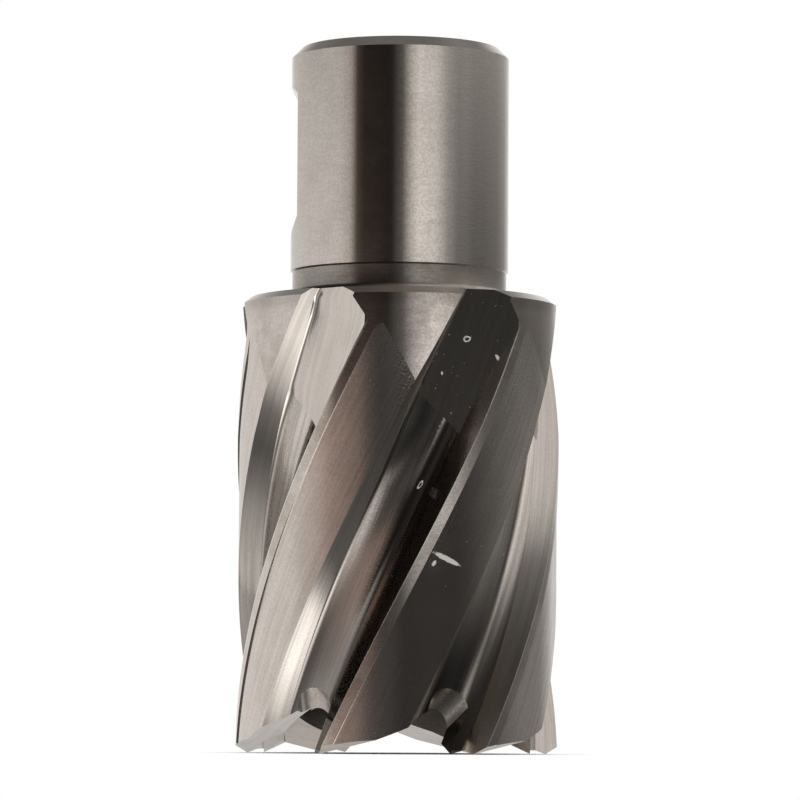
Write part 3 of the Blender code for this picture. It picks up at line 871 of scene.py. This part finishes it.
def steel_material(name, look, settings):
    """One finish of the steel: lines of its machining, grain, stains, specks, nicks and painted edge
    highlights.

    The colour runs from dark to light with the lines and the grain. Painted shade darkens some finishes
    with height, and a stain darkens it. The painted edge highlights are light and smooth, and specks and
    nicks are light, rough and less like a mirror.
    """
    material = bpy.data.materials.new(name)
    material.use_nodes = True
    tree = material.node_tree
    shader = tree.nodes["Principled BSDF"]
    place = finish_position(tree, look["pattern"])
    pattern = {"Position": place, "Lines": look["lines"], "Stretch": look["stretch"]}
    lines = grouped(tree, "grinding_lines", pattern)
    marks = grouped(tree, "handling_marks", {"Position": millimetres(tree), "Amount": look["specks"]})
    helix = new_node(tree, "ShaderNodeAttribute", attribute_name="helix").outputs["Vector"]
    behind, along, _ = new_node(tree, "ShaderNodeSeparateXYZ", {0: helix}).outputs

    steel = Vector(settings.steel_colour)
    dark, light = ((*(steel * tone), 1.0) for tone in look["tone"])
    shade = mix_value(tree, look["grain"], lines["Lines"], marks["Grain"])
    colour = mix_colour(tree, shade, dark, light)
    # Painted shade: the colour darkens with the helix length, from the bright height to the dark one
    if "fade" in look:
        bright_height, dark_height, share = look["fade"]
        fade = scale_range(tree, along, bright_height, dark_height, 0.0, share)
        colour = mix_colour(tree, fade, colour, (*(steel * PAINTED_SHADE_TONE), 1.0))
    stain = calculate(tree, "MULTIPLY", marks["Cloud"], look["stain"] * settings.stain)
    colour = mix_colour(tree, stain, colour, (*settings.stain_colour, 1.0))
    low, high = (limit * settings.roughness for limit in look["rough"])
    rough = scale_range(tree, shade, 0.0, 1.0, high, low, smooth=False)
    rough = calculate(tree, "MULTIPLY_ADD", stain, STAIN_ROUGHNESS, rough)

    # Painted highlights: light, smooth bands along the cutting edge and the margin's edge
    for line, width, strength in look.get("edges", ()):
        edge = {"Distance": behind, "Height": along, "Line": line, "Width": width}
        band = grouped(tree, "painted_edge_highlight", edge)["Band"]
        band = calculate(tree, "MULTIPLY", band, strength * settings.wear_and_edge_highlight)
        colour = mix_colour(tree, band, colour, (*settings.edge_highlight_colour, 1.0))
        rough = mix_value(tree, band, rough, EDGE_ROUGHNESS)
    worn = calculate(tree, "MULTIPLY", marks["Specks"], SPECK_STRENGTH * settings.wear_and_edge_highlight)
    for nick in NICKS.get(name, ()):
        shape = calculate(tree, "MULTIPLY", nick_shape(tree, helix, *nick), settings.wear_and_edge_highlight)
        worn = calculate(tree, "MAXIMUM", worn, shape)
    colour = mix_colour(tree, worn, colour, (*settings.nick_colour, 1.0))
    rough = mix_value(tree, worn, rough, NICK_ROUGHNESS)

    metal = calculate(tree, "MULTIPLY_ADD", worn, -NICK_METAL_LOSS, 1.0)
    tree.links.new(metal, shader.inputs["Metallic"])
    tree.links.new(colour, shader.inputs["Base Color"])
    tree.links.new(rough, shader.inputs["Roughness"])
    height = calculate(tree, "MULTIPLY_ADD", marks["Grain"], look["grain"], lines["Height"])
    bump = {"Height": height, "Strength": look["bump"], "Distance": BUMP_DISTANCE}
    tree.links.new(new_node(tree, "ShaderNodeBump", bump).outputs[0], shader.inputs["Normal"])
    shader.inputs["Anisotropic"].default_value = look["anisotropic"]
    shader.inputs["Anisotropic Rotation"].default_value = look["rotation"]
    return material


def turned_look(tone, rough, **changes):
    """A lathe finish: close lines round the axis, which blur reflections upwards."""
    look = dict(pattern="turned", tone=tone, rough=rough, lines=7.0, stretch=9.0, grain=0.6, stain=0.1)
    look.update(specks=0.3, bump=0.2, anisotropic=0.8, rotation=0.25)
    look.update(changes)
    return look


def helix_look(tone, rough, **changes):
    """A ground finish: long lines along the helix, which blur reflections sideways."""
    look = dict(pattern="helix", tone=tone, rough=rough, lines=5.0, stretch=50.0, grain=0.2, stain=0.12)
    look.update(specks=0.3, bump=0.4, anisotropic=0.7, rotation=0.5 - HELIX_SLOPE / (2 * math.pi))
    look.update(changes)
    return look


def plain_look(tone, rough, **changes):
    """A milled or bench-ground finish: straight lines, which blur reflections evenly."""
    look = dict(pattern="plain", tone=tone, rough=rough, stretch=6.0, specks=0.3, bump=0.5)
    look.update(anisotropic=0.0, rotation=0.0)
    look.update(changes)
    return look


def make_finishes(settings):
    """Build the node groups once and return one material for each finish, in slot order.

    An edge is a painted highlight: its place in mm behind the cutting edge, its width and its strength. A
    fade is painted shade: the helix length where the steel is bright, the one where it is dark, and how
    far it goes.
    """
    grinding_lines_group()
    handling_marks_group()
    painted_edge_highlight_group()
    nick_group()
    # Places of the painted highlights along the cutting edge and the margin's edge
    cutting_edge, margin_edge = (0.0, 0.13, 1.0), (0.93, 0.07, 0.15)
    # The fades of the collar, the trailing walls and the floors are painted shade by height
    collar = dict(stain=0.4, fade=(42.2, 43.2, 0.28), edges=(cutting_edge, margin_edge))
    land = dict(lines=6.0, bump=0.8, grain=0.35, specks=0.85, edges=(margin_edge,))
    wall = dict(lines=3.2, bump=1.0, grain=0.1, stain=0.1, fade=(16, 34, 0.62))
    floor = dict(lines=6.0, bump=1.0, specks=0.8, fade=(20, 8, 0.85))
    end = dict(pattern="end", lines=3.0, grain=0.3, stain=0.3)
    looks = {
        "turned_shank": turned_look((0.86, 1.08), (0.09, 0.13)),
        "turned_chamfer": turned_look((0.66, 0.82), (0.12, 0.18), grain=0.4),
        "turned_neck": turned_look((0.44, 0.66), (0.14, 0.20), grain=0.4, stain=0.5),
        "turned_collar": turned_look((0.88, 1.10), (0.09, 0.13), **collar),
        # The bore's dark tone is painted shade inside the cavity
        "turned_bore_painted_shade": turned_look((0.22, 0.36), (0.30, 0.45), lines=4.0, anisotropic=0.0),
        "milled_flat": plain_look((0.78, 1.0), (0.13, 0.18), lines=5.0, grain=0.4, stain=0.3),
        "relieved_land": helix_look((0.78, 1.14), (0.09, 0.14), **land),
        "trailing_wall": helix_look((0.66, 1.15), (0.08, 0.14), **wall),
        "flute_floor": helix_look((0.66, 1.18), (0.08, 0.14), **floor),
        "runout_facet": helix_look((0.80, 1.08), (0.07, 0.11), lines=6.0, specks=1.0, bump=0.3),
        "rake_wall": helix_look((0.70, 1.0), (0.12, 0.18), stain=0.0),
        "milled_gullet": plain_look((0.40, 0.66), (0.22, 0.34), lines=2.0, grain=0.5, stain=0.4),
        "ground_end": plain_look((0.70, 0.98), (0.14, 0.22), **end),
    }
    return [steel_material(name, looks[name], settings) for name in FINISHES]


# Settings and operators


class CutterSizes(bpy.types.PropertyGroup):
    """Fineness of the ground surfaces."""

    turned_steps: bpy.props.IntProperty(
        name="Turned Steps", description="Facets round the turned surfaces", default=288, min=48, max=720
    )
    flute_levels: bpy.props.IntProperty(
        name="Flute Levels", description="Sections up each flute", default=110, min=24, max=300
    )
    flute_steps: bpy.props.IntProperty(
        name="Flute Steps", description="Points on a third of a flute's floor", default=7, min=3, max=24
    )


class SteelSettings(bpy.types.PropertyGroup):
    """Colours and wear of the tool steel."""

    steel_colour: bpy.props.FloatVectorProperty(
        name="Steel Colour", description="Bare steel", default=(0.74, 0.67, 0.605), size=3, subtype="COLOR"
    )
    # Colour of the painted edge highlights
    edge_highlight_colour: bpy.props.FloatVectorProperty(
        name="Edge Colour", description="Worn edges", default=(1.0, 0.97, 0.92), size=3, subtype="COLOR"
    )
    nick_colour: bpy.props.FloatVectorProperty(
        name="Nick Colour", description="Nicks", default=(0.92, 0.90, 0.87), size=3, subtype="COLOR"
    )
    stain_colour: bpy.props.FloatVectorProperty(
        name="Stain Colour", description="Oil residue", default=(0.36, 0.30, 0.24), size=3, subtype="COLOR"
    )
    stain: bpy.props.FloatProperty(
        name="Stain", description="Strength of the oil residue", default=1.0, min=0.0, max=2.0
    )
    roughness: bpy.props.FloatProperty(
        name="Roughness", description="Scale of every finish's roughness", default=1.0, min=0.3, max=2.0
    )
    # Scales the specks and nicks, and also the painted edge highlights
    wear_and_edge_highlight: bpy.props.FloatProperty(
        name="Wear", description="Strength of specks, nicks and worn edges", default=1.0, min=0.0, max=1.2
    )


class StudioSettings(bpy.types.PropertyGroup):
    """The plain studio round the cutter."""

    camera_distance: bpy.props.FloatProperty(
        name="Camera Distance", description="Lens to cutter", default=CAMERA_DISTANCE, unit="LENGTH"
    )
    camera_pitch: bpy.props.FloatProperty(
        name="Camera Pitch", description="How far it looks up", default=CAMERA_PITCH, subtype="ANGLE"
    )
    floor_colour: bpy.props.FloatVectorProperty(
        name="Floor Colour", description="Plain floor", default=(0.90, 0.90, 0.90), size=3, subtype="COLOR"
    )
    floor_light: bpy.props.FloatProperty(
        name="Floor Light", description="Brightness of the floor's light", default=1.0, min=0.0, max=2.0
    )
    reflection_level: bpy.props.FloatProperty(
        name="Reflections", description="Brightness of the mirrored light", default=1.0, min=0.0, max=3.0
    )


class CUTTER_OT_ground_body(bpy.types.Operator):
    """Build the cutter's whole surface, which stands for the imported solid"""

    bl_idname = "cutter.ground_body"
    bl_label = "Ground Body"

    def execute(self, context):
        sizes = context.scene.cutter_sizes
        materials = make_finishes(context.scene.cutter_steel)
        holder = bpy.data.collections.new("grinding")
        context.scene.collection.children.link(holder)
        tools = bpy.data.collections.new("grinding_tools")
        holder.children.link(tools)
        blank = closed_mesh("blank", *revolve(*blank_profile(CORNER_STEPS), sizes.turned_steps))
        blank = link(blank, holder, materials)
        pieces = [flat_cutter(turn) for turn in FLAT_TURNS]
        for index in range(TEETH):
            turn = index * TOOTH_PITCH
            pieces.append(flute_cutter(turn, sizes.flute_steps, sizes.flute_levels))
            pieces.append(gullet_cutter(turn, GULLET_STEPS))
            pieces.append(end_cutter(turn))
        for index, piece in enumerate(pieces):
            link(closed_mesh("tool_%d" % index, *piece), tools, materials)
        mesh = grind(blank, tools)
        for item in list(tools.objects) + [blank]:
            bpy.data.objects.remove(item, do_unlink=True)
        bpy.data.collections.remove(tools)
        bpy.data.collections.remove(holder)
        mesh.name = "ground_body"
        write_helix_map(mesh)
        set_normals(mesh)
        body = bpy.data.objects.new("ground_body", mesh)
        context.scene.collection.objects.link(body)
        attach(body, "root")
        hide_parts("annular_cutter")
        return {"FINISHED"}


def studio_floor(colour):
    """A wide plain floor at the tooth tips, which is plain white away from the cutter."""
    size = FLOOR_SIZE
    mesh = bpy.data.meshes.new("studio_floor")
    corners = [(-size, -size, 0.0), (size, -size, 0.0), (size, size, 0.0), (-size, size, 0.0)]
    mesh.from_pydata(corners, [], [(0, 1, 2, 3)])
    floor = bpy.data.objects.new("studio_floor", mesh)
    floor.visible_glossy = False
    bpy.context.scene.collection.objects.link(floor)
    material = bpy.data.materials.new("studio_floor")
    material.use_nodes = True
    tree = material.node_tree
    shader = tree.nodes["Principled BSDF"]
    shader.inputs["Base Color"].default_value = (*colour, 1.0)
    shader.inputs["Roughness"].default_value = 0.9
    shader.inputs["Specular IOR Level"].default_value = 0.0
    place = new_node(tree, "ShaderNodeTexCoord").outputs["Object"]
    away = new_node(tree, "ShaderNodeVectorMath", {0: place}, operation="LENGTH").outputs["Value"]
    share = scale_range(tree, away, FLOOR_SHADOW_START, FLOOR_SHADOW_END)
    white = new_node(tree, "ShaderNodeEmission", {"Color": (1.0, 1.0, 1.0, 1.0)}).outputs[0]
    blend = new_node(tree, "ShaderNodeMixShader", {0: share, 1: shader.outputs[0], 2: white})
    tree.links.new(blend.outputs[0], tree.nodes["Material Output"].inputs["Surface"])
    mesh.materials.append(material)


def ring_ramp(tree, azimuth, stops):
    """Add the ramp of one ring of softboxes over the azimuth and return its colour."""
    ramp = new_node(tree, "ShaderNodeValToRGB", {"Fac": azimuth})
    elements = ramp.color_ramp.elements
    elements.remove(elements[1])
    for index, (angle, level, warmth) in enumerate(stops):
        place = (angle + 180) / 360
        stop = elements[0] if index == 0 else elements.new(place)
        stop.position = place
        bright = level / BRIGHTEST
        green = bright * (1.0 - WARM_GREEN_LOSS * warmth)
        blue = bright * (1.0 - WARM_BLUE_LOSS * warmth)
        stop.color = (bright, green, blue, 1.0)
    return ramp.outputs["Color"]


def studio_world(settings):
    """White to the camera; to the steel, softboxes and dark flags round it by azimuth and height.

    Each ring of SOFTBOXES is a ramp over the azimuth, and the rings blend by elevation.
    """
    world = bpy.data.worlds.new("studio")
    bpy.context.scene.world = world
    world.use_nodes = True
    tree = world.node_tree
    background = tree.nodes["Background"]
    direction = new_node(tree, "ShaderNodeTexCoord").outputs["Generated"]
    parts = new_node(tree, "ShaderNodeSeparateXYZ", {0: direction}).outputs
    front = calculate(tree, "MULTIPLY", parts[1], -1.0)
    azimuth = calculate(tree, "MULTIPLY", calculate(tree, "ARCTAN2", parts[0], front), 180 / math.pi)
    azimuth = scale_range(tree, azimuth, -180, 180, smooth=False)
    elevation = calculate(tree, "MULTIPLY", calculate(tree, "ARCSINE", parts[2]), 180 / math.pi)
    below, stops = SOFTBOXES[0]
    studio = ring_ramp(tree, azimuth, stops)
    for height, stops in SOFTBOXES[1:]:
        share = scale_range(tree, elevation, below, height)
        studio = mix_colour(tree, share, studio, ring_ramp(tree, azimuth, stops))
        below = height
    boost = settings.reflection_level * BRIGHTEST
    studio = mix_colour(tree, 1.0, studio, (boost, boost, boost, 1.0), blend="MULTIPLY")
    path = new_node(tree, "ShaderNodeLightPath").outputs
    seen = mix_colour(tree, path["Is Camera Ray"], studio, (1.0, 1.0, 1.0, 1.0))
    level = settings.floor_light
    shaded = mix_colour(tree, path["Is Diffuse Ray"], seen, (level, level, level, 1.0))
    tree.links.new(shaded, background.inputs["Color"])


def studio_lamp():
    """A soft lamp for the floor, which the steel doesn't mirror."""
    light = bpy.data.lights.new("top_lamp", "AREA")
    light.energy = LAMP_POWER
    light.size = LAMP_SIZE
    lamp = bpy.data.objects.new("top_lamp", light)
    lamp.location = LAMP_PLACE
    lamp.rotation_euler = (Vector(LAMP_TARGET) - Vector(LAMP_PLACE)).to_track_quat("-Z", "Y").to_euler()
    lamp.visible_glossy = False
    bpy.context.scene.collection.objects.link(lamp)


def studio_camera(settings):
    """The photograph's long lens, just above the floor and looking slightly up."""
    pitch = settings.camera_pitch
    view = Vector((0.0, math.cos(pitch), math.sin(pitch)))
    camera = bpy.data.cameras.new("camera")
    camera.sensor_width = SENSOR
    camera.lens = LENS
    camera.shift_x = CAMERA_SHIFT
    item = bpy.data.objects.new("camera", camera)
    bpy.context.scene.collection.objects.link(item)
    place = Vector((0.0, 0.0, OVERALL_HEIGHT / 2)) - view * settings.camera_distance
    turn = view.to_track_quat("-Z", "Y").to_matrix().to_4x4()
    item.matrix_world = Matrix.Translation(place) @ turn @ Matrix.Rotation(CAMERA_ROLL, 4, "Z")
    bpy.context.scene.camera = item


class CUTTER_OT_stage(bpy.types.Operator):
    """Build the plain floor, the soft studio light and the camera"""

    bl_idname = "cutter.stage"
    bl_label = "Studio"

    def execute(self, context):
        settings = context.scene.cutter_studio
        studio_floor(settings.floor_colour)
        studio_world(settings)
        studio_lamp()
        studio_camera(settings)
        context.scene.view_settings.view_transform = "Standard"
        return {"FINISHED"}


class CUTTER_PT_panel(bpy.types.Panel):
    """Sizes of the cutter's surfaces and of the studio"""

    bl_idname = "CUTTER_PT_panel"
    bl_label = "Annular Cutter"
    bl_space_type = "VIEW_3D"
    bl_region_type = "UI"
    bl_category = "Annular Cutter"

    def draw(self, context):
        layout = self.layout
        scene = context.scene
        for group in (scene.cutter_sizes, scene.cutter_steel, scene.cutter_studio):
            for name in group.bl_rna.properties.keys():
                if name not in ("rna_type", "name"):
                    layout.prop(group, name)
        layout.operator("cutter.ground_body")
        layout.operator("cutter.stage")


CLASSES = (
    CutterSizes,
    SteelSettings,
    StudioSettings,
    CUTTER_OT_ground_body,
    CUTTER_OT_stage,
    CUTTER_PT_panel,
)


def register():
    """Register the classes and their settings."""
    for item in CLASSES:
        bpy.utils.register_class(item)
    bpy.types.Scene.cutter_sizes = bpy.props.PointerProperty(type=CutterSizes)
    bpy.types.Scene.cutter_steel = bpy.props.PointerProperty(type=SteelSettings)
    bpy.types.Scene.cutter_studio = bpy.props.PointerProperty(type=StudioSettings)


def unregister():
    """Remove the settings and the classes."""
    del bpy.types.Scene.cutter_studio
    del bpy.types.Scene.cutter_steel
    del bpy.types.Scene.cutter_sizes
    for item in reversed(CLASSES):
        bpy.utils.unregister_class(item)


def main():
    register()
    bpy.ops.cutter.ground_body()
    bpy.ops.cutter.stage()


if __name__ == "__main__":
    main()
